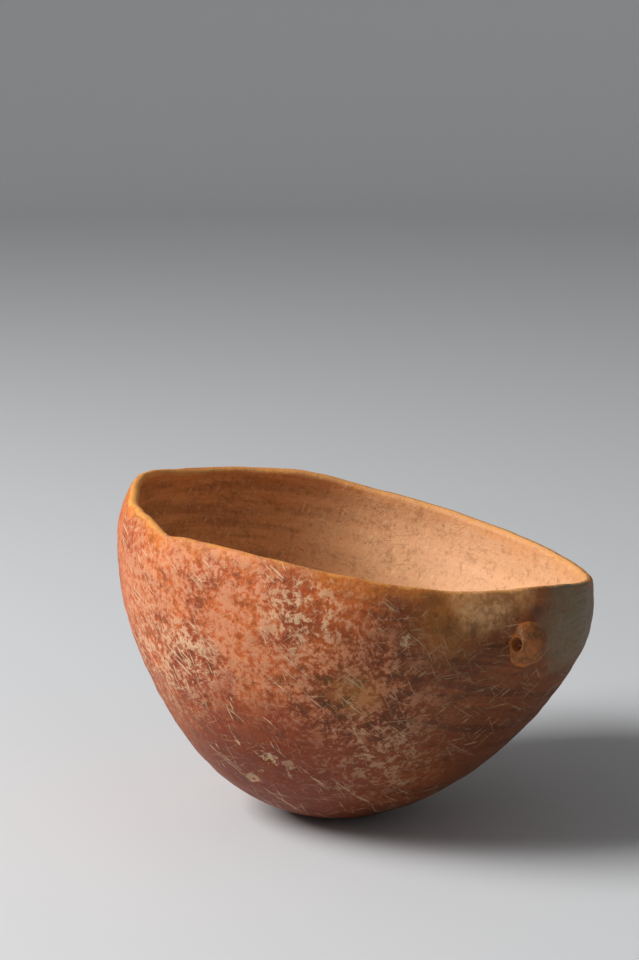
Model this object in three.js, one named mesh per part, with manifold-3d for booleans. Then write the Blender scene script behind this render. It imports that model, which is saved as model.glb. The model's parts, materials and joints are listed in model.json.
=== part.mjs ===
import * as THREE from 'three';
import { mergeVertices } from 'three/addons/utils/BufferGeometryUtils.js';
import Module from 'manifold-3d';

// A round-based pottery bowl with one pierced lug below its lip, in millimetres.
// It is hand-built: a pinched base pat, wall coils laid ring on ring over bevelled joints, a thin rim coil, and
// a lug whose tenon goes through the wall and whose root is luted with a pad of clay.
// +Z is up and +X points out through the lug. The bowl leans on a small worn flat, and the origin is the point
// that it rests on. The pieces are drawn in the upright bowl's own frame, and the whole bowl is then tipped.

// Outer face, from the pole of the base up to the lip
const greatestRadius = 80;
const shoulderHeight = 84; // height of the greatest radius above the pole
const sideFullness = 1.45; // power of the curve below the shoulder, where 2 would be an ellipse
const upperCurveHeight = 60; // half height of the ellipse that draws the wall in above the shoulder
const lipReach = 139.7; // length of the outer face from the pole to the lip

// Unevenness of the hand-formed lip. Each swell lies at an azimuth from the lug, in degrees, raises the wall's
// reach by rise and dies away over spread.
const lipSwells = [
  { azimuth: 13, spread: 33, rise: 5.7 },
  { azimuth: 154, spread: 12, rise: 1.8 },
  { azimuth: 195, spread: 17, rise: -2.2 },
  { azimuth: 262, spread: 27, rise: -5 },
];

// Nicks that wear has taken out of the lip alone
const lipNicks = [
  { azimuth: 242, spread: 6, rise: -2 },
  { azimuth: 266, spread: 6, rise: -1.3 },
];

// Wall
const baseThickness = 8;
const wallThickness = 5.5;
const lipThickness = 3.6;
const baseThinningReach = 62; // from the pole to where the base has thinned to the wall
const lipTaper = 30; // length below the lip over which the wall thins to it

// Coils
const basePatReach = 45; // length of the outer face that the base pat makes
const wallCoilCount = 5;
const rimCoilWidth = 6.5;
const jointBevel = 3.5; // drop of a coil joint from the outer face to the inner one
const jointGap = 0.3;

// Resting flat
const leanAngle = THREE.MathUtils.degToRad(13);
const leanAzimuth = THREE.MathUtils.degToRad(50); // direction of the lean, from the lug
const restFlatDepth = 0.6;

// Lug
const lugDrop = 17; // from the lip down the wall to the lug's middle
const lugProjection = 8;
const lugWidth = 13;
const lugHeight = 18;
const stringHoleDiameter = 4.2;
const stringHoleStandoff = 3.6; // from the wall to the middle of the hole
const holeMouthDiameter = 6;
const tenonDiameter = 6;
const tenonDrop = 1.5; // from the lug's middle down to the tenon's
const tenonClearance = 0.3;

// Clay pad that lutes the lug to the wall
const lutingWidth = 23;
const lutingHeight = 24;
const lutingRise = 2.8;
const lutingLift = 1; // from the lug's middle up to the pad's
const lutingGap = 0.3;

// Facets
const azimuthSteps = 72;
const basePatRings = 8;
const coilRings = 3;
const rimRings = 2;
const lipFacets = 4;
const lugFacets = 28;
const lutingFacets = 40;

const wasm = await Module();
wasm.setup();

// Outer face of the wall as a curve of (radius, height), running on above the lip.
class OuterMeridian extends THREE.Curve {
  constructor() {
    super();
    this.arcLengthDivisions = 400;
    this.sweep = THREE.MathUtils.degToRad(150);
  }

  getPoint(t, target = new THREE.Vector2()) {
    const cosine = Math.cos(t * this.sweep);
    const radius = greatestRadius * Math.sin(t * this.sweep);
    const height = cosine > 0
      ? shoulderHeight * (1 - cosine ** (2 / sideFullness))
      : shoulderHeight - upperCurveHeight * cosine;
    return target.set(radius, height);
  }
}

const meridian = new OuterMeridian();
const meridianLength = meridian.getLength();

// Sum of the swells at an azimuth, in radians from the lug.
function unevenness(swells, azimuth) {
  return swells.reduce((sum, swell) => {
    const centre = THREE.MathUtils.degToRad(swell.azimuth);
    const turn = THREE.MathUtils.euclideanModulo(azimuth - centre + Math.PI, 2 * Math.PI) - Math.PI;
    return sum + swell.rise * Math.exp(-((turn / THREE.MathUtils.degToRad(swell.spread)) ** 2));
  }, 0);
}

const formedLip = (azimuth) => lipReach + unevenness(lipSwells, azimuth);
const wornLip = (azimuth) => formedLip(azimuth) + unevenness(lipNicks, azimuth);

// Thickness of the wall at a reach from the pole, under a lip at the given reach.
function thicknessAt(reach, lip) {
  const body = THREE.MathUtils.lerp(
    baseThickness, wallThickness, THREE.MathUtils.smoothstep(reach, 0, baseThinningReach));
  return THREE.MathUtils.lerp(lipThickness, body, THREE.MathUtils.smoothstep(lip - reach, 0, lipTaper));
}

// Unit normal of the outer face, pointing out of the bowl.
function outwardNormal(reach) {
  const tangent = meridian.getTangentAt(reach / meridianLength);
  return new THREE.Vector2(tangent.y, -tangent.x);
}

// Point (radius, height) at a reach from the pole and a depth below the outer face.
function wallPoint(reach, depth = 0) {
  return meridian.getPointAt(reach / meridianLength).addScaledVector(outwardNormal(reach), -depth);
}

// Reach of each coil joint at the outer face, from the base pat's up to the rim coil's.
function jointReaches(azimuth) {
  const rimJoint = formedLip(azimuth) - rimCoilWidth;
  return Array.from({ length: wallCoilCount + 1 }, (_, joint) =>
    THREE.MathUtils.lerp(basePatReach, rimJoint, joint / wallCoilCount));
}

// Evenly spaced values from first to last, both included.
function spaced(first, last, pieces) {
  return Array.from({ length: pieces + 1 }, (_, k) => THREE.MathUtils.lerp(first, last, k / pieces));
}

// Half of a joint's gap, measured along the outer face of a joint that slopes through the wall.
function halfGapAlongFace(thickness) {
  return (jointGap / 2) * Math.hypot(jointBevel, thickness) / thickness;
}

// Outer and inner corners of a joint face, moved along the wall by the share of the gap that side gives it.
function jointEdges(reach, lip, side) {
  const thickness = thicknessAt(reach, lip);
  const outer = reach + side * halfGapAlongFace(thickness);
  return { outer, inner: outer - jointBevel };
}

// Points of the outer face, then of the inner face, between two pairs of joint edges.
function outerFace(from, to, rings) {
  return spaced(from, to, rings).map((reach) => wallPoint(reach));
}

function innerFace(from, to, rings, lip) {
  return spaced(from, to, rings).map((reach) => wallPoint(reach, thicknessAt(reach, lip)));
}

function basePatSection(azimuth) {
  const lip = formedLip(azimuth);
  const top = jointEdges(jointReaches(azimuth)[0], lip, -1);
  return [
    ...outerFace(0, top.outer, basePatRings),
    ...innerFace(top.inner, 0, basePatRings, lip),
  ];
}

function wallCoilSection(azimuth, coil) {
  const lip = formedLip(azimuth);
  const joints = jointReaches(azimuth);
  const bottom = jointEdges(joints[coil], lip, 1);
  const top = jointEdges(joints[coil + 1], lip, -1);
  return [
    ...outerFace(bottom.outer, top.outer, coilRings),
    ...innerFace(top.inner, bottom.inner, coilRings, lip),
  ];
}

// The rim coil ends in a rounded lip, as far up as the wear has left it.
function rimCoilSection(azimuth) {
  const lip = formedLip(azimuth);
  const bottom = jointEdges(jointReaches(azimuth)[wallCoilCount], lip, 1);
  const top = wornLip(azimuth) - lipThickness / 2;
  const thickness = thicknessAt(top, lip);
  const round = spaced(0, Math.PI, lipFacets).slice(1, -1).map((angle) => wallPoint(
    top + (lipThickness / 2) * Math.sin(angle),
    (thickness / 2) * (1 - Math.cos(angle)),
  ));
  return [
    ...outerFace(bottom.outer, top, rimRings),
    ...round,
    ...innerFace(top, bottom.inner, rimRings, lip),
  ];
}

// Closed body swept round the bowl's axis by a section of (radius, height) points that may change on the way.
function sweep(sectionAt) {
  const positions = [];
  for (const azimuth of spaced(0, 2 * Math.PI, azimuthSteps).slice(0, -1)) {
    for (const point of sectionAt(azimuth)) {
      positions.push(point.x * Math.cos(azimuth), point.x * Math.sin(azimuth), point.y);
    }
  }
  const count = positions.length / 3 / azimuthSteps;
  const indices = [];
  for (let step = 0; step < azimuthSteps; step++) {
    const here = step * count;
    const next = ((step + 1) % azimuthSteps) * count;
    for (let k = 0; k < count; k++) {
      const above = (k + 1) % count;
      indices.push(here + k, next + k, next + above, here + k, next + above, here + above);
    }
  }
  const geometry = new THREE.BufferGeometry();
  geometry.setAttribute('position', new THREE.Float32BufferAttribute(positions, 3));
  geometry.setIndex(indices);
  return geometry;
}

// Closed solid of a geometry, with its shared corners merged and the triangles that fold flat left out.
function solidOf(geometry) {
  const bare = geometry.clone();
  bare.deleteAttribute('normal');
  bare.deleteAttribute('uv');
  const merged = mergeVertices(bare, 1e-4);
  const corners = merged.index.array;
  const triangles = [];
  for (let k = 0; k < corners.length; k += 3) {
    const [a, b, c] = corners.slice(k, k + 3);
    if (a !== b && b !== c && c !== a) {
      triangles.push(a, b, c);
    }
  }
  return new wasm.Manifold(new wasm.Mesh({
    numProp: 3,
    vertProperties: merged.attributes.position.array,
    triVerts: Uint32Array.from(triangles),
  }));
}

function geometryOf(solid) {
  const mesh = solid.getMesh();
  const geometry = new THREE.BufferGeometry();
  geometry.setAttribute('position', new THREE.BufferAttribute(mesh.vertProperties, 3));
  geometry.setIndex(new THREE.BufferAttribute(mesh.triVerts, 1));
  geometry.computeVertexNormals();
  return geometry;
}

// How the bowl stands: tipped over its pole and let down until its resting point is cut to a flat at z = 0.
function leaningPlacement() {
  const tip = new THREE.Quaternion().setFromAxisAngle(
    new THREE.Vector3(-Math.sin(leanAzimuth), Math.cos(leanAzimuth), 0), leanAngle);
  const resting = meridian.getPoints(4000)
    .map((point) => new THREE.Vector3(
      point.x * Math.cos(leanAzimuth), point.x * Math.sin(leanAzimuth), point.y).applyQuaternion(tip))
    .reduce((lowest, point) => (point.z < lowest.z ? point : lowest));
  const position = resting.negate().add(new THREE.Vector3(0, 0, -restFlatDepth));
  return new THREE.Matrix4().compose(position, tip, new THREE.Vector3(1, 1, 1));
}

const placement = leaningPlacement();

// Everything below the surface that the bowl stands on, in the bowl's own frame.
function groundSolid() {
  const span = 4 * greatestRadius;
  const slab = new THREE.BoxGeometry(span, span, span).translate(0, 0, -span / 2);
  return solidOf(slab.applyMatrix4(placement.clone().invert()));
}

// Frame of the lug: its origin is on the outer face at the lug's middle, x points out and z runs up the wall.
function lugFrame() {
  const reach = formedLip(0) - lugDrop;
  const point = wallPoint(reach);
  const normal = outwardNormal(reach);
  const out = new THREE.Vector3(normal.x, 0, normal.y);
  const up = new THREE.Vector3(-normal.y, 0, normal.x);
  return new THREE.Matrix4()
    .makeBasis(out, up.clone().cross(out), up)
    .setPosition(point.x, 0, point.y);
}

const lugPlace = lugFrame();
const lugSolid = (geometry) => solidOf(geometry.applyMatrix4(lugPlace));

// Round bar along the lug's x, centred on the tenon.
function tenonBar(diameter, from, to) {
  return new THREE.CylinderGeometry(diameter / 2, diameter / 2, to - from, lugFacets)
    .rotateZ(Math.PI / 2)
    .translate((from + to) / 2, 0, -tenonDrop);
}

// The mass of the lug, a knob with its middle on the wall, grown by a clearance.
function lugKnob(clearance) {
  return lugSolid(new THREE.SphereGeometry(1, lugFacets, lugFacets / 2).scale(
    lugProjection + clearance, lugWidth / 2 + clearance, lugHeight / 2 + clearance));
}

// What the string hole takes out: a bar across the lug that flares from the hole to its two mouths and beyond.
function stringHole() {
  const hole = stringHoleDiameter / 2;
  const mouth = holeMouthDiameter / 2;
  const half = lugWidth / 2;
  const profile = [
    new THREE.Vector2(0, -lutingWidth),
    new THREE.Vector2(mouth, -lutingWidth),
    new THREE.Vector2(mouth, -half),
    new THREE.Vector2(hole, -half / 3),
    new THREE.Vector2(hole, half / 3),
    new THREE.Vector2(mouth, half),
    new THREE.Vector2(mouth, lutingWidth),
    new THREE.Vector2(0, lutingWidth),
  ];
  return lugSolid(new THREE.LatheGeometry(profile, lugFacets / 2).translate(stringHoleStandoff, 0, 0));
}

// The bowl as if it were solid clay up past its lip, with its outer face a clearance outside the real one.
function solidBowl(clearance) {
  const section = (azimuth) => {
    const reaches = spaced(0, formedLip(azimuth) + lipTaper, 4 * coilRings * wallCoilCount);
    const face = reaches.map((reach) => wallPoint(reach, -clearance));
    return [...face, new THREE.Vector2(0, face.at(-1).y)];
  };
  return solidOf(sweep(section));
}

// The knob and its tenon in one piece, bedded on the wall and pierced for a string.
function lug() {
  const inside = -thicknessAt(formedLip(0) - lugDrop, formedLip(0));
  const tenon = lugSolid(tenonBar(tenonDiameter, inside, lugProjection / 4));
  return lugKnob(0).subtract(solidBowl(jointGap)).add(tenon).subtract(stringHole());
}

// Pad of clay smoothed over the lug's root: the cap of a flattened ball that lies mostly inside the wall.
function lutingPad() {
  const depth = lutingRise;
  const spread = 1 / Math.sqrt(1 - (depth / (depth + lutingRise)) ** 2);
  const cap = new THREE.SphereGeometry(1, lutingFacets, lutingFacets / 2)
    .scale(depth + lutingRise, spread * lutingWidth / 2, spread * lutingHeight / 2)
    .translate(-depth, 0, lutingLift);
  return lugSolid(cap)
    .subtract(solidBowl(lutingGap))
    .subtract(lugKnob(lutingGap))
    .subtract(stringHole());
}

// Hole through the wall for the lug's tenon.
function mortise() {
  const through = 2 * wallThickness;
  return lugSolid(tenonBar(tenonDiameter + 2 * tenonClearance, -through, through));
}

function clay(color, roughness) {
  return new THREE.MeshStandardMaterial({ color, roughness, metalness: 0 });
}

function piece(name, solid, material) {
  const mesh = new THREE.Mesh(geometryOf(solid), material);
  mesh.name = name;
  return mesh;
}

const bowl = new THREE.Group();
bowl.applyMatrix4(placement);

const basePat = solidOf(sweep(basePatSection)).subtract(groundSolid());
bowl.add(piece('base_pat', basePat, clay('#7d3b25', 0.55)));

for (let coil = 0; coil < wallCoilCount; coil++) {
  const ring = solidOf(sweep((azimuth) => wallCoilSection(azimuth, coil))).subtract(mortise());
  bowl.add(piece(`wall_coil_${coil + 1}`, ring, clay('#a4512f', 0.5)));
}

const rimCoil = solidOf(sweep(rimCoilSection)).subtract(mortise());
bowl.add(piece('rim_coil', rimCoil, clay('#b5652f', 0.6)));
bowl.add(piece('lug', lug(), clay('#9a4a22', 0.45)));
bowl.add(piece('lug_luting', lutingPad(), clay('#8f5136', 0.5)));

const part = new THREE.Group();
part.add(bowl);

export default part;
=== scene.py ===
"""Looks of a hand-built pottery bowl with one pierced lug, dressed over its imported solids.

The clay body is one fine surface that stands for the base pat, the wall coils, the rim coil and the luting
pad, and the lug is a pierced knob sunk in it. Both are worked out in the upright bowl's own frame, in
millimetres, and then tipped into the frame that the bowl leans in.
"""

import json
import logging
import math
from dataclasses import dataclass, field
from enum import Enum
from functools import reduce

import bpy
import numpy as np
from mathutils import Matrix, Vector


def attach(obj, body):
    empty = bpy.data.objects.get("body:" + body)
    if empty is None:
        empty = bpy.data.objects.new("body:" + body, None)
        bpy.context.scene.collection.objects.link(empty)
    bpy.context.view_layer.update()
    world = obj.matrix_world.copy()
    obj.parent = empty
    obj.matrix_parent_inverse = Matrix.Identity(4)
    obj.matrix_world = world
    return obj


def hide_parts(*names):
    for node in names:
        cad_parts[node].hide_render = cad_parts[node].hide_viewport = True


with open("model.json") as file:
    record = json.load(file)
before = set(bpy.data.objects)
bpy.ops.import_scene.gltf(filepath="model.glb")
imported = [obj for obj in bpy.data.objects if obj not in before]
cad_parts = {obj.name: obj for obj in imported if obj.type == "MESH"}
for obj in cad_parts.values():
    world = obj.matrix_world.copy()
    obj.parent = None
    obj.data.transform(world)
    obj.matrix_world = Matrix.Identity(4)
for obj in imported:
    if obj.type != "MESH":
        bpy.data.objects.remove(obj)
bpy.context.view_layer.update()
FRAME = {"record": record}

log = logging.getLogger("bowl")

MM = 0.001
PHOTO_WIDTH = 639
PHOTO_HEIGHT = 960


class Node(Enum):
    """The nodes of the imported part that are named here."""

    BASE = "base_pat"
    RIM = "rim_coil"
    LUG = "lug"
    LUTING = "lug_luting"


class Slot(Enum):
    """The material slots that the two pieces take."""

    BODY = "burnished_slip"
    LUG = "lug_slip"


@dataclass(frozen=True)
class Swell:
    """A smooth rise or fall of the lip at an azimuth from the lug, in degrees and millimetres."""

    azimuth: float
    spread: float
    rise: float

    def at(self, azimuth: np.ndarray) -> np.ndarray:
        """Rise at each azimuth in degrees: a bell curve of the turn from the swell's middle."""
        turn = (azimuth - self.azimuth + 180) % 360 - 180
        return self.rise * np.exp(-((turn / self.spread) ** 2))


@dataclass(frozen=True)
class Wave:
    """One even wave of the lip: its rise in millimetres, how many go round, and its phase in radians."""

    rise: float
    count: int
    phase: float

    def at(self, turn: np.ndarray) -> np.ndarray:
        """Rise at each azimuth in radians."""
        return self.rise * np.sin(self.count * turn + self.phase)


@dataclass
class BowlForm:
    """Sizes of the clay body in millimetres, and the surfaces that they give."""

    greatest_radius: float = 80
    shoulder_height: float = 84
    side_fullness: float = 1.45
    upper_curve_height: float = 60
    lip_reach: float = 139.7
    base_thickness: float = 8
    wall_thickness: float = 5.5
    lip_thickness: float = 3.6
    base_thinning_reach: float = 62
    lip_taper: float = 30
    lean: float = math.radians(13)
    lean_azimuth: float = math.radians(50)
    rest_flat_depth: float = 0.6
    outline_end: float = math.radians(150)
    outline_samples: int = 6000
    slope_step: float = 0.4
    swells: tuple[Swell, ...] = (
        Swell(13, 33, 5.7), Swell(154, 12, 1.8), Swell(195, 17, -2.2), Swell(262, 27, -5))
    nicks: tuple[Swell, ...] = (
        Swell(242, 6, -2), Swell(266, 5, -1.6), Swell(251, 2.5, -0.5), Swell(222, 3, 0.5))
    lip_waves: tuple[Wave, ...] = (Wave(0.10, 9, 1.1), Wave(0.07, 23, 0.4), Wave(0.05, 41, 2))

    def __post_init__(self) -> None:
        """Samples the outer outline evenly in angle and measures its length."""
        angle = np.linspace(0, self.outline_end, self.outline_samples)
        cosine = np.cos(angle)
        below = self.shoulder_height * (1 - np.clip(cosine, 0, 1) ** (2 / self.side_fullness))
        above = self.shoulder_height - self.upper_curve_height * cosine
        self.radii = self.greatest_radius * np.sin(angle)
        self.heights = np.where(cosine > 0, below, above)
        steps = np.hypot(np.diff(self.radii), np.diff(self.heights))
        self.reaches = np.concatenate([[0], np.cumsum(steps)])

    def outline(self, reach: np.ndarray) -> tuple[np.ndarray, np.ndarray]:
        """Radius and height of the outer face at a reach from the pole."""
        return np.interp(reach, self.reaches, self.radii), np.interp(reach, self.reaches, self.heights)

    def normal(self, reach: np.ndarray) -> tuple[np.ndarray, np.ndarray]:
        """Outward normal, as its parts along the radius and the height: the slope turned a quarter."""
        near = np.maximum(reach - self.slope_step, 0)
        r0, h0 = self.outline(near)
        r1, h1 = self.outline(near + 2 * self.slope_step)
        length = np.hypot(r1 - r0, h1 - h0)
        return (h1 - h0) / length, -(r1 - r0) / length

    def formed_lip(self, azimuth: np.ndarray) -> np.ndarray:
        """Reach of the lip as it was formed, at azimuths in degrees."""
        return self.lip_reach + sum(swell.at(azimuth) for swell in self.swells)

    def worn_lip(self, azimuth: np.ndarray) -> np.ndarray:
        """Reach of the lip as wear has left it: the formed lip, its nicks and a fine unevenness."""
        turn = np.radians(azimuth)
        fine = sum(wave.at(turn) for wave in self.lip_waves)
        return self.formed_lip(azimuth) + sum(nick.at(azimuth) for nick in self.nicks) + fine

    def thickness(self, reach: np.ndarray, lip: np.ndarray) -> np.ndarray:
        """Wall thickness: the base thins to the wall, and the wall thins to the lip."""
        low = smooth(reach / self.base_thinning_reach)
        body = self.base_thickness + (self.wall_thickness - self.base_thickness) * low
        high = smooth((lip - reach) / self.lip_taper)
        return self.lip_thickness + (body - self.lip_thickness) * high

    def tip(self) -> np.ndarray:
        """Turn about the level axis square to the lean."""
        x, y = -math.sin(self.lean_azimuth), math.cos(self.lean_azimuth)
        return np.array(Matrix.Rotation(self.lean, 3, (x, y, 0)))

    def resting_point(self) -> np.ndarray:
        """The tipped outline's lowest point, before the bowl is let down, in millimetres from the pole."""
        towards_x, towards_y = math.cos(self.lean_azimuth), math.sin(self.lean_azimuth)
        upright = np.stack([self.radii * towards_x, self.radii * towards_y, self.heights], axis=1)
        tipped = upright @ self.tip().T
        return tipped[tipped[:, 2].argmin()]

    def to_row(self, points: np.ndarray) -> np.ndarray:
        """Points of the upright bowl, in millimetres, tipped and set down in the row frame, in metres."""
        set_down = self.resting_point() + np.array([0, 0, self.rest_flat_depth])
        return (points @ self.tip().T - set_down) * MM

    def face_point(self, azimuth: float, height: float) -> np.ndarray:
        """Point of the upright bowl's outer face at an azimuth in degrees and a height above the pole."""
        radius = np.interp(height, self.heights, self.radii)
        turn = math.radians(azimuth)
        return np.array([radius * math.cos(turn), radius * math.sin(turn), height])

    def on_face(self, azimuth: float, height: float) -> np.ndarray:
        """The same point in the row frame, in metres."""
        return self.to_row(self.face_point(azimuth, height)[None])[0]


@dataclass
class LugForm:
    """Sizes of the lug and of the clay luted round it, in millimetres."""

    drop: float = 17
    projection: float = 7.3
    width: float = 12
    height: float = 16
    sink: float = 2.5
    side_inset: float = 0.4
    side_fullness: float = 0.75
    unevenness: float = 0.16
    unevenness_length: float = 7
    hole_diameter: float = 3.8
    hole_standoff: float = 3.3
    mouth_diameter: float = 4.6
    luting_rise: float = 3.4
    luting_depth: float = 12
    groove_spread: float = 2.8
    ridge_rise: float = 0.9
    ridge_spread: float = 4.5


@dataclass(frozen=True)
class Dent:
    """A chip, pit or hollow of the surface at an azimuth and height, in degrees and millimetres."""

    azimuth: float
    height: float
    radius: float
    depth: float


DENTS = (
    Dent(-57.8, 29.2, 3.0, 1.0),
    Dent(-66.4, 17.6, 2.7, 0.8),
    Dent(-50.5, 29.6, 1.9, 0.5),
    Dent(-30, 82.8, 1.6, 0.7),
    Dent(-16.5, 96.4, 1.2, 0.5),
    Dent(-13, 93.6, 1.1, 0.4),
    Dent(-62, 22.5, 1.2, 0.4),
)


def smooth(share: np.ndarray) -> np.ndarray:
    """Smooth step: three times the square less twice the cube of the share, held from 0 to 1."""
    held = np.clip(share, 0, 1)
    return held * held * (3 - 2 * held)


def ripple(points: np.ndarray, length: float, seed: int, waves: int = 14) -> np.ndarray:
    """Even, wandering relief about zero, mostly within 1 each way: sine waves of about one length in fixed
    directions, added up and divided by the root of their number.

    Args:
        points: places in millimetres, with three numbers in the last axis.
        length: wavelength in millimetres.
        seed: picks the directions and phases.
        waves: how many waves are added.

    Returns:
        One number for each point.
    """
    draw = np.random.default_rng(seed)
    total = np.zeros(points.shape[:-1])
    for _ in range(waves):
        direction = draw.normal(size=3)
        direction /= np.linalg.norm(direction)
        pitch = length * draw.uniform(0.6, 1.6)
        total += np.sin(points @ direction * (2 * math.pi / pitch) + draw.uniform(0, 2 * math.pi))
    return total / math.sqrt(waves)


@dataclass(frozen=True)
class Ripple:
    """One scale of hand-made unevenness: its rise and wavelength in millimetres, how many times shorter its
    waves are up the wall than round it, and its seed."""

    rise: float
    length: float
    flatness: float
    seed: int

    def at(self, points: np.ndarray) -> np.ndarray:
        """Rise at points of the upright bowl."""
        return self.rise * ripple(points * np.array([1, 1, self.flatness]), self.length, self.seed)


OUTER_RIPPLES = (Ripple(0.32, 60, 1, 3), Ripple(0.10, 16, 2.4, 4), Ripple(0.045, 6, 2.4, 5))
INNER_RIPPLES = (Ripple(0.4, 45, 1, 8), Ripple(0.09, 14, 3, 9))


def linked_mesh(name: str, points: np.ndarray, faces: list) -> bpy.types.Object:
    """Makes a smooth shaded mesh object and links it to the scene.

    Args:
        name: name of the object and its mesh.
        points: one row of xyz in metres for each point.
        faces: lists of point numbers.

    Returns:
        The object.
    """
    mesh = bpy.data.meshes.new(name)
    mesh.from_pydata(points.tolist(), [], faces)
    mesh.polygons.foreach_set("use_smooth", np.ones(len(mesh.polygons), bool))
    mesh.update()
    made = bpy.data.objects.new(name, mesh)
    bpy.context.scene.collection.objects.link(made)
    return made


def ring_quads(rows: int, steps: int, looped: bool) -> np.ndarray:
    """Quads that join each ring of points to the next.

    Args:
        rows: how many rings there are.
        steps: how many points a ring has.
        looped: True where the last ring joins the first.

    Returns:
        One row of four point numbers for each quad.
    """
    pairs = rows if looped else rows - 1
    row = np.repeat(np.arange(pairs), steps)
    step = np.tile(np.arange(steps), pairs)
    after = (step + 1) % steps
    above = (row + 1) % rows
    corners = (row * steps + step, row * steps + after, above * steps + after, above * steps + step)
    return np.stack(corners, axis=1)


def closed_mesh(name: str, rings: np.ndarray, capped: bool) -> bpy.types.Object:
    """Closed mesh of rings joined row to row.

    Args:
        name: the piece's name.
        rings: array of (row, step round, xyz) in metres.
        capped: True where the first and last rows are closed by a pole each, and False where they join.

    Returns:
        The new object, smooth shaded.
    """
    rows, steps, _ = rings.shape
    points = rings.reshape(-1, 3)
    faces = ring_quads(rows, steps, not capped).tolist()
    if capped:
        points = np.concatenate([points, np.stack([rings[0].mean(0), rings[-1].mean(0)])])
        ring = np.arange(steps)
        after = (ring + 1) % steps
        first, last = rows * steps, rows * steps + 1
        top = (rows - 1) * steps
        faces += np.stack([np.full(steps, first), after, ring], 1).tolist()
        faces += np.stack([np.full(steps, last), top + ring, top + after], 1).tolist()
    return linked_mesh(name, points, faces)


class Sock:
    """A number, colour or vector output of a node, with the shader maths written as operators."""

    def __init__(self, shader: "Shader", socket: bpy.types.NodeSocket) -> None:
        """Keeps the shader and the socket."""
        self.shader = shader
        self.socket = socket

    def _math(self, operation: str, *values: object) -> "Sock":
        """One Math node on the values."""
        return self.shader.node("ShaderNodeMath", {"operation": operation}, dict(enumerate(values)))

    def __add__(self, other: object) -> "Sock":
        """Sum."""
        return self._math("ADD", self, other)

    __radd__ = __add__

    def __sub__(self, other: object) -> "Sock":
        """Difference."""
        return self._math("SUBTRACT", self, other)

    def __rsub__(self, other: object) -> "Sock":
        """Difference the other way round."""
        return self._math("SUBTRACT", other, self)

    def __mul__(self, other: object) -> "Sock":
        """Product."""
        return self._math("MULTIPLY", self, other)

    def smaller(self, other: object) -> "Sock":
        """The smaller of two."""
        return self._math("MINIMUM", self, other)

    def larger(self, other: object) -> "Sock":
        """The larger of two."""
        return self._math("MAXIMUM", self, other)

    def step(self, low: float, high: float) -> "Sock":
        """Smooth step from 0 at low to 1 at high, which may be the smaller."""
        return self.shader.node("ShaderNodeMapRange", {"interpolation_type": "SMOOTHSTEP"},
                                {"Value": self, "From Min": low, "From Max": high})


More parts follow.
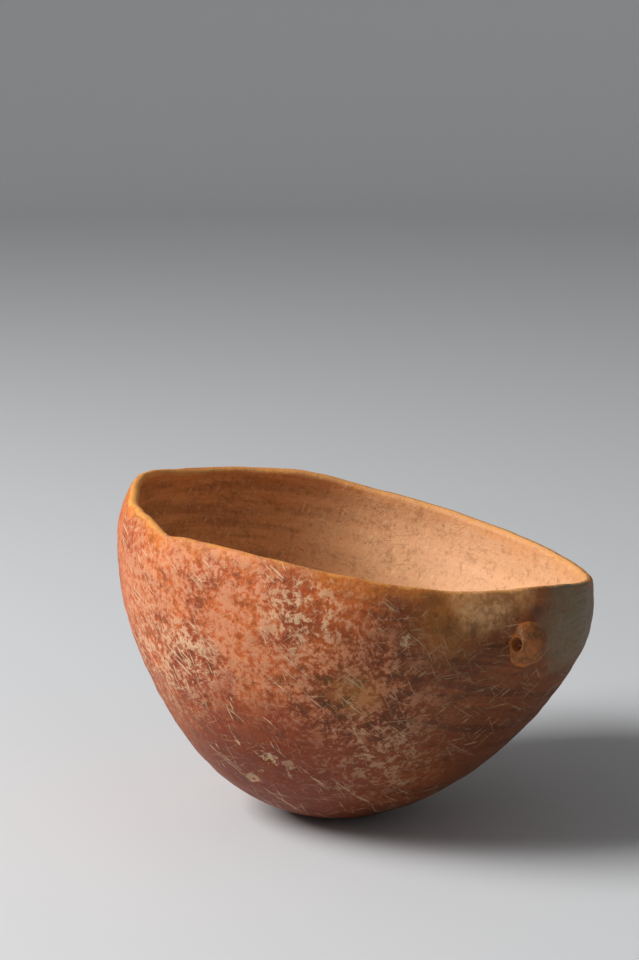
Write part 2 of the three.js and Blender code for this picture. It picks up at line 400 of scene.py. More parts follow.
class Shader:
    """One material's node tree."""

    def __init__(self, name: str) -> None:
        """Makes the material with a lone Principled shader."""
        self.material = bpy.data.materials.new(name)
        self.material.use_nodes = True
        self.tree = self.material.node_tree
        self.principled = self.tree.nodes["Principled BSDF"]
        self.place = self.node("ShaderNodeTexCoord", {}, {}, "Object")

    def node(self, kind: str, settings: dict, inputs: dict, output: object = 0) -> Sock:
        """Makes any node.

        Args:
            kind: the node's type.
            settings: its own settings, set first.
            inputs: values or Socks by socket name or number.
            output: name or number of the output to return.

        Returns:
            The output, wrapped.
        """
        made = self.tree.nodes.new(kind)
        for key, value in settings.items():
            setattr(made, key, value)
        for key, value in inputs.items():
            if isinstance(value, Sock):
                self.tree.links.new(value.socket, made.inputs[key])
            else:
                made.inputs[key].default_value = value
        return Sock(self, made.outputs[output])

    def blend(self, mask: Sock, first: object, second: object) -> Sock:
        """Mixes two colours.

        Args:
            mask: from 0 for the first colour to 1 for the second.
            first: a Sock, or a linear red, green and blue.
            second: the same.

        Returns:
            The mixed colour.
        """
        colours = {6: first, 7: second}
        inputs = {key: value if isinstance(value, Sock) else (*value, 1) for key, value in colours.items()}
        return self.node("ShaderNodeMix", {"data_type": "RGBA"}, {0: mask, **inputs}, 2)

    def stretched(self, size: tuple[float, float, float], turn: tuple[float, float, float]) -> Sock:
        """The place measured along turned axes.

        Args:
            size: metres along each turned axis that count as 1.
            turn: angles of the axes about X, Y and Z, in radians.

        Returns:
            The measured place.
        """
        return self.node("ShaderNodeMapping", {"vector_type": "TEXTURE"},
                         {"Vector": self.place, "Rotation": turn, "Scale": size})

    def noise(self, scale: float, detail: float = 3, rough: float = 0.55, warp: float = 0,
              place: Sock | None = None) -> Sock:
        """Noise from 0 to 1.

        Args:
            scale: features a metre, or features for each 1 of the place.
            detail: how many finer scales are added.
            rough: how strong the finer scales are.
            warp: how far the noise distorts itself.
            place: where it is looked up, if not in the object's own metres.

        Returns:
            The noise.
        """
        return self.node("ShaderNodeTexNoise", {}, {
            "Vector": place or self.place, "Scale": scale, "Detail": detail, "Roughness": rough,
            "Distortion": warp})

    def dots(self, scale: float) -> Sock:
        """Distance to the nearest of some scattered points, with so many cells a metre."""
        return self.node("ShaderNodeTexVoronoi", {"feature": "F1"},
                         {"Vector": self.place, "Scale": scale}, "Distance")

    def attribute(self, name: str) -> Sock:
        """A number that the mesh carries."""
        return self.node("ShaderNodeAttribute", {"attribute_name": name}, {}, "Fac")

    def offset(self, centre: np.ndarray) -> Sock:
        """The place measured from a centre."""
        return self.node("ShaderNodeVectorMath", {"operation": "SUBTRACT"}, {0: self.place, 1: tuple(centre)})

    def along(self, vector: Sock, direction: np.ndarray) -> Sock:
        """Length of a vector along a direction."""
        return self.node("ShaderNodeVectorMath", {"operation": "DOT_PRODUCT"},
                         {0: vector, 1: tuple(direction)}, "Value")

    def distance(self, centre: np.ndarray) -> Sock:
        """Distance from a centre, in metres."""
        return self.node("ShaderNodeVectorMath", {"operation": "LENGTH"}, {0: self.offset(centre)}, "Value")

    def finish(self, colour: Sock, roughness: Sock, height: Sock, depth: float,
               sheen: float) -> bpy.types.Material:
        """Sends the finish to the Principled shader.

        Args:
            colour: the base colour.
            roughness: the roughness.
            height: relief from about 0 to 1.
            depth: metres that the relief's 1 stands for.
            sheen: level of the plain reflection, where 0.5 leaves it as the index of refraction gives it.

        Returns:
            The material.
        """
        bump = self.node("ShaderNodeBump", {}, {"Height": height, "Distance": depth, "Strength": 1}, "Normal")
        for key, value in (("Base Color", colour), ("Roughness", roughness), ("Normal", bump)):
            self.tree.links.new(value.socket, self.principled.inputs[key])
        self.principled.inputs["Specular IOR Level"].default_value = sheen
        return self.material


@dataclass(frozen=True)
class SlipColours:
    """Colours of the fired and burnished slip, linear, with some that stand for painted light and shade."""

    orange_red: tuple = (0.56, 0.130, 0.030)
    deep_red: tuple = (0.32, 0.052, 0.013)
    brown: tuple = (0.19, 0.068, 0.020)
    dark_brown: tuple = (0.075, 0.028, 0.009)
    pink_bloom: tuple = (0.66, 0.30, 0.16)
    cream: tuple = (0.74, 0.50, 0.29)
    ochre: tuple = (0.46, 0.19, 0.035)
    # grey of the fire clouding right of the lug, partly painted shade
    grey: tuple = (0.20, 0.155, 0.085)
    buff: tuple = (0.84, 0.44, 0.19)
    inside_brown: tuple = (0.62, 0.28, 0.10)
    inside_dark: tuple = (0.42, 0.18, 0.06)
    # pale inside colour: painted light on the lit right of the inner face
    lit_pale_inside: tuple = (0.76, 0.42, 0.22)
    clay_orange: tuple = (0.66, 0.23, 0.035)
    worn_edge: tuple = (0.80, 0.36, 0.09)
    shadow_red: tuple = (0.085, 0.014, 0.002)
    lug_orange: tuple = (0.40, 0.125, 0.029)


@dataclass(frozen=True)
class Patch:
    """A round patch of the outer face: azimuth in degrees from the lug, height above the pole, radius to the
    middle of its edge and width of that edge in millimetres, and its strength from 0 to 1."""

    azimuth: float
    height: float
    radius: float
    edge: float
    strength: float = 1


# pink bloom on the front left, facing the key lamp: partly the slip's own bloom, partly painted highlight
LEFT_BLOOM_AND_HIGHLIGHT = Patch(-85, 80, 42, 36, 0.6)
CENTRE_BLOOM = Patch(-40, 64, 28, 30, 0.6)
CENTRE_DARK = Patch(-36, 58, 20, 16, 0.75)
OCHRE_PATCHES = (Patch(-37, 62, 8, 10, 0.5), Patch(-20, 90, 11, 14, 0.5))
LOW_RED = Patch(-52, 20, 30, 24, 0.55)
CREAM_PATCHES = (
    Patch(-83, 57.7, 11, 14),
    Patch(-53, 84, 12, 14),
    Patch(-22, 36, 20, 22, 0.7),
    Patch(-98, 46, 20, 22, 0.8),
)
# painted shade under the bowl and low on its right
PAINTED_SHADE_PATCHES = (Patch(-45, 6, 54, 44, 0.52), Patch(5, 40, 34, 40, 0.52))
BUFF_PATCHES = (Patch(-13, 102, 12, 10), Patch(-2, 104, 7, 7))
# grey fire clouding right of the lug, partly painted shade on the side of its ridge away from the lamp
GREY_CLOUD_AND_SHADE = Patch(22, 94, 20, 12)
CLOUD_AND_SHADE_LEFT_EDGE = (3, 90)


@dataclass(frozen=True)
class Strokes:
    """Short marks that lie at one slope: degrees above the photograph's level, length and width in
    millimetres, and how many there are, from 0 to 1."""

    slope: float
    length: float
    width: float
    amount: float


STEEP_MARKS = (Strokes(-42, 14, 0.9, 0.5), Strokes(-68, 10, 0.75, 0.4))
LEVEL_MARKS = (Strokes(4, 12, 0.85, 0.45), Strokes(38, 9, 0.8, 0.4))
INNER_MARKS = (Strokes(60, 5, 0.8, 0.2),)
STREAK_SIZE = (1 / 20, 1 / 20, 1 / 240)


@dataclass
class Textures:
    """Noises and measures that the body's colours share."""

    broad: Sock
    middle: Sock
    fine: Sock
    speckle: Sock
    patchy: Sock
    grain: Sock
    streaks: Sock
    below_lip: Sock
    shade: Sock
    left: Sock
    lit_inner_side: Sock


@dataclass
class ClayFinish:
    """Burnished red slip with its clouds, blooms, root marks and wear, with painted light and shade laid over
    it in places.
    """

    form: BowlForm
    colours: SlipColours = field(default_factory=SlipColours)
    body_relief: float = 0.0009
    body_sheen: float = 0.2
    lug_relief: float = 0.0005
    lug_sheen: float = 0.25

    def photo_right(self) -> np.ndarray:
        """Level direction that points right in the photograph, which is the way that the bowl leans."""
        return np.array([math.cos(self.form.lean_azimuth), math.sin(self.form.lean_azimuth), 0])

    def patches(self, shader: Shader, places: tuple[Patch, ...], wander: Sock) -> Sock:
        """Mask of some patches on the outer face.

        Args:
            shader: the material.
            places: the patches. Where two overlap, the stronger counts.
            wander: noise from 0 to 1 that pushes each edge in and out by half the patch's radius.

        Returns:
            The patch's strength inside and 0 outside.
        """
        masks = []
        for place in places:
            centre = self.form.on_face(place.azimuth, place.height)
            reach = shader.distance(centre) + (wander - 0.5) * (place.radius * MM)
            outer, inner = place.radius + place.edge / 2, place.radius - place.edge / 2
            masks.append(reach.step(outer * MM, inner * MM) * place.strength)
        return reduce(Sock.larger, masks)

    def strokes(self, shader: Shader, kinds: tuple[Strokes, ...]) -> Sock:
        """Short root marks and scratches: the peaks of noise that is drawn out along each slope and into the
        picture, and is thin across it.

        Args:
            shader: the material.
            kinds: the slopes and sizes of the marks.

        Returns:
            1 on a mark and 0 off it.
        """
        right, up = self.photo_right(), np.array([0, 0, 1])
        facing = np.cross(right, up)
        masks = []
        for kind in kinds:
            slope = math.radians(kind.slope)
            along = right * math.cos(slope) + up * math.sin(slope)
            turn = Matrix(np.stack([along, np.cross(facing, along), facing], axis=1)).to_euler()
            size = (kind.length * MM, kind.width * MM, 2 * kind.length * MM)
            low = 0.68 - 0.12 * kind.amount
            noise = shader.noise(1, 2, 0.6, 0.1, shader.stretched(size, tuple(turn)))
            masks.append(noise.step(low, low + 0.04))
        return reduce(Sock.larger, masks)

    def textures(self, shader: Shader) -> Textures:
        """Makes the noises and measures that the colours share.

        Args:
            shader: the body's material.

        Returns:
            The noises and measures.
        """
        broad = shader.noise(13, 4, 0.6)
        middle = shader.noise(48, 5, 0.65, 0.4)
        fine = shader.noise(190, 4, 0.7)
        speckle = shader.noise(560, 3, 0.7)
        lean_turn = tuple(Matrix(self.form.tip()).to_euler())
        right_side = shader.along(shader.place, self.photo_right())
        return Textures(
            broad=broad,
            middle=middle,
            fine=fine,
            speckle=speckle,
            patchy=fine * 0.5 + speckle * 0.5,
            grain=shader.noise(1300, 2, 0.6),
            streaks=shader.noise(1, 4, 0.62, 0, shader.stretched(STREAK_SIZE, lean_turn)),
            below_lip=shader.attribute("below_lip"),
            # shade is 1 on the side turned away from the key lamp, where painted shade is laid over the colours
            shade=(right_side + (middle - 0.5) * 0.07).step(-0.022, 0.045),
            # left is 1 on the far left, the side facing the key lamp, where painted light is laid
            left=right_side.step(-0.045, -0.075),
            # mask of the inner face's right side, lit by the key lamp over the lip, where painted light is laid
            lit_inner_side=(right_side + (broad - 0.5) * 0.05).step(-0.050, 0.035),
        )

    def slip_colour(self, shader: Shader, look: Textures) -> Sock:
        """Ground colour of the slip: orange red clouded with deep red, browner and streaked to the right,
        partly the slip's own tone and partly painted shade.

        Args:
            shader: the body's material.
            look: its textures.

        Returns:
            The colour.
        """
        tint = self.colours
        clouding = (look.broad * 0.5 + look.middle * 0.5).step(0.44, 0.57)
        colour = shader.blend(clouding, tint.orange_red, tint.deep_red)
        # painted shade on the side away from the lamp, over the slip's own browner tone: browner, with heavier
        # dark streaks
        colour = shader.blend(look.shade * 0.85, colour, tint.brown)
        dark_streaks = look.streaks.step(0.50, 0.64) * look.shade.larger(0.3) * 0.75
        colour = shader.blend(dark_streaks, colour, tint.dark_brown)
        red_streaks = (1 - look.streaks).step(0.56, 0.68) * look.shade * 0.5
        return shader.blend(red_streaks, colour, tint.orange_red)

    def blooms(self, shader: Shader, look: Textures, colour: Sock) -> Sock:
        """Lays the pink blooms, the left one partly a painted highlight, and the dark, ochre, red and cream
        patches over a colour.

        Args:
            shader: the body's material.
            look: its textures.
            colour: the colour below.

        Returns:
            The new colour.
        """
        tint = self.colours
        # pink on the lit left: partly bloom, partly painted highlight
        bloom_and_highlight = self.patches(shader, (LEFT_BLOOM_AND_HIGHLIGHT,), look.middle) * look.patchy.step(0.44, 0.56)
        colour = shader.blend(bloom_and_highlight, colour, tint.pink_bloom)
        centre = self.patches(shader, (CENTRE_BLOOM,), look.middle) * look.patchy.step(0.47, 0.58)
        colour = shader.blend(centre, colour, tint.pink_bloom)
        dim = self.patches(shader, (CENTRE_DARK,), look.middle) * (1 - look.patchy).step(0.46, 0.58)
        colour = shader.blend(dim, colour, tint.dark_brown)
        colour = shader.blend(self.patches(shader, OCHRE_PATCHES, look.middle), colour, tint.ochre)
        colour = shader.blend(self.patches(shader, (LOW_RED,), look.middle), colour, tint.deep_red)
        cream = self.patches(shader, CREAM_PATCHES, look.fine) * look.patchy.step(0.50, 0.57) * 0.72
        return shader.blend(cream, colour, tint.cream)

    def speckles(self, shader: Shader, look: Textures, colour: Sock) -> Sock:
        """Lays pink, red and brown speckle over a colour, and lays painted shade over it towards the base and
        the right.

        Args:
            shader: the body's material.
            look: its textures.
            colour: the colour below.

        Returns:
            The new colour.
        """
        tint = self.colours
        # pink speckle thins on the side away from the lamp: painted shade
        pink = look.speckle.step(0.54, 0.68) * (0.40 - look.shade * 0.22)
        colour = shader.blend(pink, colour, tint.pink_bloom)
        colour = shader.blend((1 - look.speckle).step(0.53, 0.66) * 0.55, colour, tint.deep_red)
        colour = shader.blend((1 - look.fine).step(0.54, 0.66) * 0.5, colour, tint.dark_brown)
        # painted shade towards the base and on the side away from the lamp
        dark = self.patches(shader, PAINTED_SHADE_PATCHES, look.middle).larger(look.shade * 0.25)
        return shader.blend(dark, colour, tint.shadow_red)

    def root_marks(self, shader: Shader, look: Textures) -> Sock:
        """Mask of the outer face's root marks: the steep ones fade to the right and the level ones to the left.

        Args:
            shader: the body's material.
            look: its textures.

        Returns:
            From 0 off the marks to 1 on them.
        """
        steep = self.strokes(shader, STEEP_MARKS) * (1 - look.shade * 0.6)
        level = self.strokes(shader, LEVEL_MARKS) * (0.35 + look.shade * 0.3)
        return (steep + level).smaller(1) * look.middle.step(0.45, 0.56)

    def lug_side(self, shader: Shader, look: Textures, colour: Sock, high: Sock) -> Sock:
        """Lays the buff patches between lip and lug, the grey fire clouding right of it, partly painted shade,
        and the band under the lip.

        Args:
            shader: the body's material.
            look: its textures.
            colour: the colour below.
            high: mask of the band just under the lip.

        Returns:
            The new colour.
        """
        tint = self.colours
        wander = shader.noise(75, 4)
        buff = self.patches(shader, BUFF_PATCHES, wander) * (0.35 + look.patchy.step(0.40, 0.60) * 0.6)
        colour = shader.blend(buff, colour, tint.buff)
        from_edge = shader.along(shader.offset(self.form.on_face(*CLOUD_AND_SHADE_LEFT_EDGE)), self.photo_right())
        past_edge = (from_edge + (wander - 0.5) * 0.006).step(-0.001, 0.001)
        # grey patch right of the lug: partly fire clouding, partly painted shade on the side of its ridge away
        # from the lamp
        cloud_and_shade = self.patches(shader, (GREY_CLOUD_AND_SHADE,), wander) * past_edge
        colour = shader.blend(cloud_and_shade * (0.45 + look.patchy.step(0.38, 0.60) * 0.5), colour, tint.grey)
        return shader.blend(high * (1 - cloud_and_shade), colour, tint.clay_orange)

    def inner_colour(self, shader: Shader, look: Textures, high: Sock) -> Sock:
        """Colour of the inner face: streaked brown on the left, pale with painted light on the right, with a
        few marks.

        Args:
            shader: the body's material.
            look: its textures.
            high: mask of the band just under the lip.

        Returns:
            The colour.
        """
        tint = self.colours
        colour = shader.blend(look.streaks.step(0.40, 0.62), tint.inside_brown, tint.inside_dark)
        # painted light: the inner face turns pale on its right, where the lamp shines in over the lip
        pale = look.lit_inner_side * (0.6 + look.middle * 0.5).smaller(1)
        colour = shader.blend(pale, colour, tint.lit_pale_inside)
        colour = shader.blend(look.speckle.step(0.55, 0.70) * 0.3, colour, tint.cream)
        colour = shader.blend((1 - look.patchy).step(0.50, 0.62) * 0.35, colour, tint.brown)
        colour = shader.blend(high, colour, tint.clay_orange)
        return shader.blend(self.strokes(shader, INNER_MARKS) * 0.5, colour, tint.cream)

    def chips(self, shader: Shader, look: Textures, colour: Sock) -> Sock:
        """Bares cream clay in the dents, more in the deeper ones.

        Args:
            shader: the body's material.
            look: its textures.
            colour: the colour below.

        Returns:
            The new colour.
        """
        for dent in DENTS:
            away = shader.distance(self.form.on_face(dent.azimuth, dent.height)) + (look.patchy - 0.5) * 0.015
            chip = away.step(dent.radius * 1.05 * MM, dent.radius * 0.7 * MM) * (dent.depth * 0.75)
            colour = shader.blend(chip, colour, self.colours.cream)
        return colour

    def material(self) -> bpy.types.Material:
        """Builds the body's material.

        Returns:
            The material.
        """
        tint = self.colours
        shader = Shader("burnished_slip")
        look = self.textures(shader)
        marks = self.root_marks(shader, look)
        # orange band under the lip: partly the clay's own colour, partly painted light where it is laid
        # stronger on the lit left
        high = (look.below_lip + (look.middle - 0.5) * 0.02).step(0.007, 0.0) * (0.3 + look.left * 0.4)

        outer = self.slip_colour(shader, look)
        outer = self.blooms(shader, look, outer)
        outer = self.speckles(shader, look, outer)
        # cream root marks, dimmed on the side away from the lamp as painted shade
        outer = shader.blend(marks * (0.72 - look.shade * 0.25), outer, tint.cream)
        outer = self.lug_side(shader, look, outer, high)
        inside = shader.attribute("inside").step(0.45, 0.55)
        colour = shader.blend(inside, outer, self.inner_colour(shader, look, high))

        # rubbed lip edge: wear, laid wider and brighter on the lit left as painted light
        worn = (look.below_lip + (look.fine - 0.5) * 0.006 - look.left * 0.0008).step(0.0010, 0.0)
        colour = shader.blend(worn * (0.5 + look.left * 0.3), colour, tint.worn_edge)
        colour = self.chips(shader, look, colour)

        rough = 0.42 + look.fine * 0.14 + marks * 0.2 + worn * 0.15 + inside * 0.08
        relief = look.middle * 0.4 + look.fine * 0.35 + look.speckle * 0.2 + look.grain * 0.1
        relief = relief + look.streaks * 0.3 + marks * 0.2
        return shader.finish(colour, rough, relief, self.body_relief, self.body_sheen)

    def lug_material(self) -> bpy.types.Material:
        """Builds the lug's material: orange-brown slip with cream specks in patches.

        Returns:
            The material.
        """
        tint = self.colours
        shader = Shader("lug_slip")
        middle = shader.noise(160, 4, 0.6, 0.5)
        fine = shader.noise(600, 3, 0.6)
        specks = shader.dots(700).step(0.24, 0.1)
        colour = shader.blend(middle.step(0.38, 0.56), tint.lug_orange, tint.brown)
        colour = shader.blend(fine.step(0.5, 0.7) * 0.3, colour, tint.clay_orange)
        colour = shader.blend(specks * middle.step(0.48, 0.6) * 0.6, colour, tint.cream)
        rough = 0.42 + fine * 0.2
        return shader.finish(colour, rough, middle * 0.5 + fine * 0.3, self.lug_relief, self.lug_sheen)


def packed_coils() -> list[str]:
    """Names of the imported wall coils."""
    nodes = [part["node"] for part in FRAME["record"]["subparts"]]
    return [name for name in nodes if name.startswith("wall_coil")]


@dataclass
class ClayBody:
    """The whole clay body: outer face, worn lip and inner face in one closed surface."""

    form: BowlForm
    lug: LugForm
    steps: int = 480
    outer_rows: int = 104
    lip_rows: int = 8
    inner_rows: int = 74
    lip_fullness: float = 0.8
    crease_drop: float = 7
    crease_depth: float = 0.28
    crease_start: float = -58
    crease_turn: float = 72
    pole_below_lip: float = 0.14

    def lug_frame(self) -> tuple[np.ndarray, np.ndarray]:
        """Middle of the lug on the outer face, and its out, across and up directions, in the upright bowl."""
        reach = np.array([float(self.form.formed_lip(np.array([0.0]))[0]) - self.lug.drop])
        radius, height = self.form.outline(reach)
        out_r, out_h = self.form.normal(reach)
        axes = np.array([[out_r[0], 0, out_h[0]], [0, 1, 0], [-out_h[0], 0, out_r[0]]])
        return np.array([radius[0], 0, height[0]]), axes

    def luting(self, points: np.ndarray) -> np.ndarray:
        """Rise of the clay smoothed round the lug: full under the knob, dying away past it, grooved where the
        string hole comes out, with a low ridge up to the lip."""
        size = self.lug
        middle, axes = self.lug_frame()
        near = (points - middle) @ axes.T
        facing = near[..., 0] > -size.luting_depth
        across, up = near[..., 1], near[..., 2]
        share = np.hypot(across / (size.width / 2), up / (size.height / 2))
        pad = size.luting_rise * np.exp(-(np.maximum(share - 0.75, 0) / 0.5) ** 2)
        mouth = np.exp(-((up / size.groove_spread) ** 2)) * smooth((np.abs(across) - 2) / 3)
        ridge = size.ridge_rise * np.exp(-((across / size.ridge_spread) ** 2)) * smooth((up - 5) / 6)
        return np.where(facing, pad * (1 - 0.95 * mouth) + ridge, 0)

    def relief(self, points: np.ndarray, azimuth: np.ndarray, reach: np.ndarray,
               lip: np.ndarray) -> np.ndarray:
        """Hand-made unevenness of the outer face: slow swells, burnishing facets, dents, the coil joint that
        shows as a crease below the lip, and the luting round the lug.

        Args:
            points: places on the plain outer face, in millimetres.
            azimuth: their degrees from the lug.
            reach: their reach from the pole.
            lip: reach of the worn lip above them.

        Returns:
            Rise of each point along the normal, in millimetres.
        """
        height = sum(scale.at(points) for scale in OUTER_RIPPLES) * smooth((reach - 16) / 20)
        for dent in DENTS:
            centre = self.form.face_point(dent.azimuth, dent.height)
            away = np.linalg.norm(points - centre, axis=-1) / dent.radius
            height -= dent.depth * (1 - smooth((away - 0.35) / 0.75))
        below = lip - reach - self.crease_drop + 0.8 * np.sin(np.radians(azimuth) * 9)
        crease = np.exp(-((below / 0.8) ** 2))
        past_start = (azimuth - self.crease_start) % 360
        shown = smooth(past_start / 8) * smooth((self.crease_turn - past_start) / 12)
        return height - self.crease_depth * crease * shown + self.luting(points)

    def rows(self) -> tuple[np.ndarray, np.ndarray, np.ndarray]:
        """Rings of the surface from the outer pole over the lip to the inner pole.

        Returns:
            The rings in millimetres, the share of the wall that each point lies in from the outer face, and
            the length from each point up to the lip in metres.
        """
        form = self.form
        azimuth = np.linspace(0, 360, self.steps, endpoint=False)[None, :]
        formed, lip = form.formed_lip(azimuth), form.worn_lip(azimuth)
        shoulder = lip - form.lip_thickness / 2
        up = np.linspace(0, 1, self.outer_rows + 1)[1:, None]
        outer_reach = up * shoulder
        round_turn = np.linspace(0, math.pi, self.lip_rows + 2)[1:-1, None]
        lip_reach = shoulder + form.lip_thickness / 2 * np.sin(round_turn) ** self.lip_fullness
        down = np.linspace(1, 0, self.inner_rows + 1)[:-1, None]
        inner_reach = down * shoulder
        reach = np.concatenate([outer_reach, lip_reach, inner_reach])
        over_lip = (1 - np.cos(round_turn)) / 2 + 0 * azimuth
        share = np.concatenate([0 * outer_reach, over_lip, 0 * inner_reach + 1])
        radius, height = form.outline(reach)
        out_r, out_h = form.normal(reach)
        depth = share * form.thickness(np.minimum(reach, shoulder), formed)
        turn = np.radians(azimuth)

        def place(below: np.ndarray) -> np.ndarray:
            """Points at a depth below the outer face."""
            r, h = radius - out_r * below, height - out_h * below
            return np.stack([r * np.cos(turn), r * np.sin(turn), h], axis=-1)

        outer_side = self.relief(place(0 * depth), azimuth + 0 * reach, reach, lip) * (1 - share)
        inner_side = sum(scale.at(place(depth)) for scale in INNER_RIPPLES) * share * smooth(reach / 25)
        return place(depth - outer_side + inner_side), share, (lip - reach) * MM

    def build(self, finish: ClayFinish) -> bpy.types.Object:
        """Makes the clay body, cuts its resting flat and dresses it.

        Args:
            finish: the clay's finish.

        Returns:
            The piece.
        """
        rings, share, below_lip = self.rows()
        placed = self.form.to_row(rings)
        placed[..., 2] = np.maximum(placed[..., 2], 0)
        piece = closed_mesh("clay_body", placed, True)
        outer_and_inner_pole = {"inside": (0, 1), "below_lip": (self.pole_below_lip, self.pole_below_lip)}
        for name, values in (("inside", share), ("below_lip", below_lip)):
            layer = piece.data.attributes.new(name, "FLOAT", "POINT")
            numbers = np.concatenate([values.ravel(), outer_and_inner_pole[name]])
            layer.data.foreach_set("value", numbers.astype(np.float32))
        piece.data.materials.append(finish.material())
        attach(piece, "root")
        coils = packed_coils()
        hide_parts(Node.BASE.value, *coils, Node.RIM.value, Node.LUTING.value)
        return piece


@dataclass
class Lug:
    """The pierced knob: a bead on its side round the string hole, cut off where it is sunk in the wall."""

    body: ClayBody
    around: int = 96
    across: int = 48

    def build(self, finish: ClayFinish) -> bpy.types.Object:
        """Makes the knob. Each section through the hole's axis runs over the outside from one mouth of the
        hole to the other, out to the knob's oval outline, and back along the flared hole.

        Args:
            finish: the clay's finish.

        Returns:
            The piece.
        """
        size = self.body.lug
        turn = np.linspace(0, 2 * math.pi, self.around, endpoint=False)[:, None]
        half = size.width / 2 - size.side_inset
        over = np.linspace(-math.pi / 2, math.pi / 2, self.across)[None, :]
        back = np.linspace(1, -1, self.across // 2 + 2)[None, 1:-1]
        hole, mouth = size.hole_diameter / 2, size.mouth_diameter / 2
        outline = self.outline_reach(turn)

        def hole_radius(y: np.ndarray) -> np.ndarray:
            """Radius of the hole, which flares with the square of the way to its mouth."""
            return hole + (mouth - hole) * (y / half) ** 2

        y_over = half * np.sin(over)
        bulge = np.cos(over) ** size.side_fullness
        rho_over = hole_radius(y_over) + (outline - hole_radius(y_over)) * bulge
        y_back = half * back
        rho = np.concatenate([rho_over, hole_radius(y_back) + 0 * turn], axis=1)
        y = np.concatenate([y_over + 0 * turn, y_back + 0 * turn], axis=1)
        local = np.stack([size.hole_standoff + rho * np.cos(turn), y, rho * np.sin(turn)], axis=-1)
        outside = smooth((rho - mouth) / 2)[..., None]
        shift = [ripple(local, size.unevenness_length, seed) for seed in (20, 21, 22)]
        local += outside * size.unevenness * np.stack(shift, axis=-1)
        local[..., 0] = np.maximum(local[..., 0], -size.sink)
        middle, axes = self.body.lug_frame()
        placed = self.body.form.to_row(local @ axes + middle)
        piece = closed_mesh("pierced_lug", placed.transpose(1, 0, 2)[::-1], False)
        piece.data.materials.append(finish.lug_material())
        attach(piece, "root")
        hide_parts(Node.LUG.value)
        return piece

    def outline_reach(self, turn: np.ndarray) -> np.ndarray:
        """Distance from the hole's middle to the knob's oval outline: the far root of where a ray from the
        hole meets the ellipse of the knob's projection and half its height."""
        size = self.body.lug
        a, b, s = size.projection, size.height / 2, size.hole_standoff
        cosine, sine = np.cos(turn), np.sin(turn)
        p = (cosine / a) ** 2 + (sine / b) ** 2
        q = s * cosine / a**2
        return (-q + np.sqrt(q * q + p * (1 - (s / a) ** 2))) / p


@dataclass(frozen=True)
class Lamp:
    """A square area lamp: metres to the photograph's right, away from it and up, side in metres and watts."""

    name: str
    right: float
    away: float
    height: float
    side: float
    power: float


LAMPS = (Lamp("key", -1.25, -0.35, 1.15, 0.8, 38), Lamp("fill", 1.2, -1.0, 0.8, 1.2, 0.8))


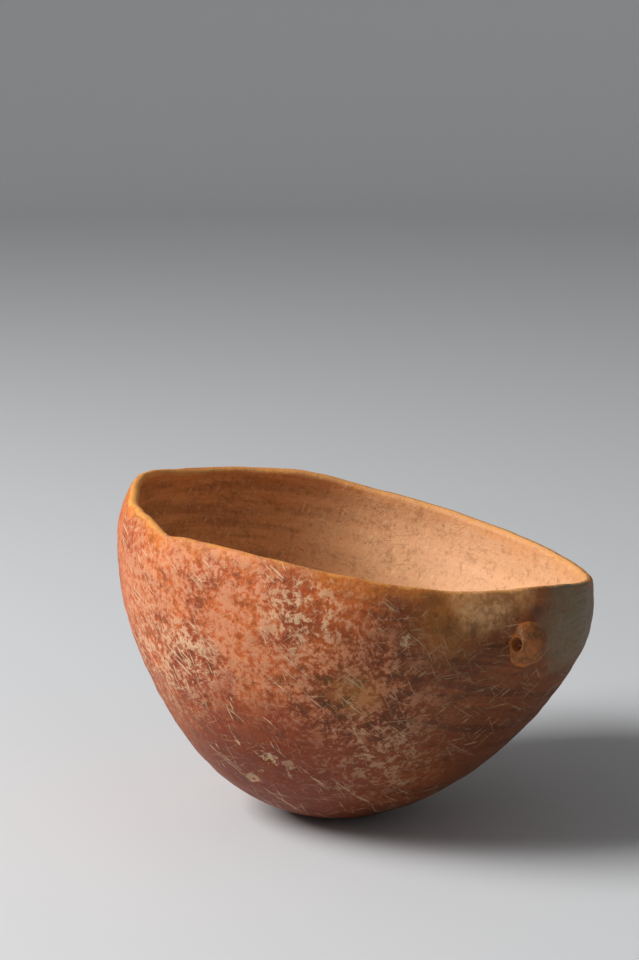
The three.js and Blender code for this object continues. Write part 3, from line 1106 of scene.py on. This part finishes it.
@dataclass
class Studio:
    """Camera at the photograph's angle, a pale floor that curves up far off on every side, and soft light
    from the left."""

    form: BowlForm
    lens: float = 100
    sensor: float = 36
    elevation: float = math.radians(18)
    distance: float = 910
    pole_pixel: tuple[float, float] = (297.3, 809.8)
    floor_reach: float = 2.2
    floor_bend: float = 1.0
    floor_colour: tuple = (0.62, 0.63, 0.64, 1)
    floor_roughness: float = 0.8
    lamp_aim: float = 0.06
    world_strength: float = 0.2

    def axes(self) -> tuple[np.ndarray, np.ndarray]:
        """Level directions right and away, as the photograph sees them."""
        a = self.form.lean_azimuth
        return np.array([math.cos(a), math.sin(a), 0]), np.array([-math.sin(a), math.cos(a), 0])

    def camera(self) -> None:
        """Sets the camera so that the floor under the bowl's pole comes at its pixel of the photograph."""
        right, away = self.axes()
        focal = PHOTO_HEIGHT * self.lens / self.sensor
        yaw = math.atan((self.pole_pixel[0] - PHOTO_WIDTH / 2) / focal)
        pitch = self.elevation - math.atan((self.pole_pixel[1] - PHOTO_HEIGHT / 2) / focal)
        rest = self.form.resting_point()
        under_pole = -np.array([rest[0], rest[1], self.form.rest_flat_depth])
        up = np.array([0, 0, 1])
        back = -away * math.cos(self.elevation) + up * math.sin(self.elevation)
        look = (-right * math.sin(yaw) + away * math.cos(yaw)) * math.cos(pitch) - up * math.sin(pitch)
        side = np.cross(look, up)
        side /= np.linalg.norm(side)
        data = bpy.data.cameras.new("camera")
        data.lens, data.sensor_width = self.lens, self.sensor
        data.clip_start, data.clip_end = 0.01, 50
        camera = bpy.data.objects.new("camera", data)
        bpy.context.scene.collection.objects.link(camera)
        turn = Matrix(np.stack([side, np.cross(side, look), -look], axis=1)).to_4x4()
        camera.matrix_world = Matrix.Translation((under_pole + back * self.distance) * MM) @ turn
        bpy.context.scene.camera = camera

    def floor(self) -> None:
        """Makes the floor as one sheet: level, then a quarter circle up into a wall far off on every side."""
        level_rings, bend_rings, steps = 24, 20, 96
        bend = np.linspace(0.05, 1.57, bend_rings)
        level_run = np.linspace(0.02, self.floor_reach, level_rings)
        run = np.concatenate([level_run, self.floor_reach + self.floor_bend * np.sin(bend)])[:, None]
        rise = np.concatenate([np.zeros(level_rings), self.floor_bend * (1 - np.cos(bend))])[:, None]
        turn = np.linspace(0, 2 * math.pi, steps, endpoint=False)
        rings = np.stack([run * np.cos(turn), run * np.sin(turn), rise + 0 * turn], -1)
        quads = ring_quads(len(run), steps, False)[:, ::-1]
        floor = linked_mesh("floor", rings.reshape(-1, 3), [list(range(steps)), *quads.tolist()])
        material = bpy.data.materials.new("floor")
        material.use_nodes = True
        shader = material.node_tree.nodes["Principled BSDF"]
        shader.inputs["Base Color"].default_value = self.floor_colour
        shader.inputs["Roughness"].default_value = self.floor_roughness
        floor.data.materials.append(material)

    def light(self) -> None:
        """Lamps that look at the bowl, and a plain white world."""
        right, away = self.axes()
        for lamp in LAMPS:
            data = bpy.data.lights.new(lamp.name, "AREA")
            data.size, data.energy = lamp.side, lamp.power
            made = bpy.data.objects.new(lamp.name, data)
            bpy.context.scene.collection.objects.link(made)
            place = right * lamp.right + away * lamp.away + np.array([0, 0, lamp.height])
            aim = np.array([0, 0, self.lamp_aim]) - place
            turn = Vector(aim).to_track_quat("-Z", "Y").to_matrix()
            made.matrix_world = Matrix.Translation(place) @ turn.to_4x4()
        world = bpy.data.worlds.new("world")
        world.use_nodes = True
        ground = world.node_tree.nodes["Background"]
        ground.inputs["Color"].default_value = (1, 1, 1, 1)
        ground.inputs["Strength"].default_value = self.world_strength
        bpy.context.scene.world = world
        bpy.context.scene.view_settings.view_transform = "Standard"


def main() -> None:
    """Builds the pieces in order, then the studio."""
    logging.basicConfig(level=logging.INFO)
    form, lug = BowlForm(), LugForm()
    finish = ClayFinish(form)
    body = ClayBody(form, lug)
    for piece in (body.build(finish), Lug(body).build(finish)):
        log.info("made %s with %d faces", piece.name, len(piece.data.polygons))
    studio = Studio(form)
    studio.camera()
    studio.floor()
    studio.light()


if __name__ == "__main__":
    main()
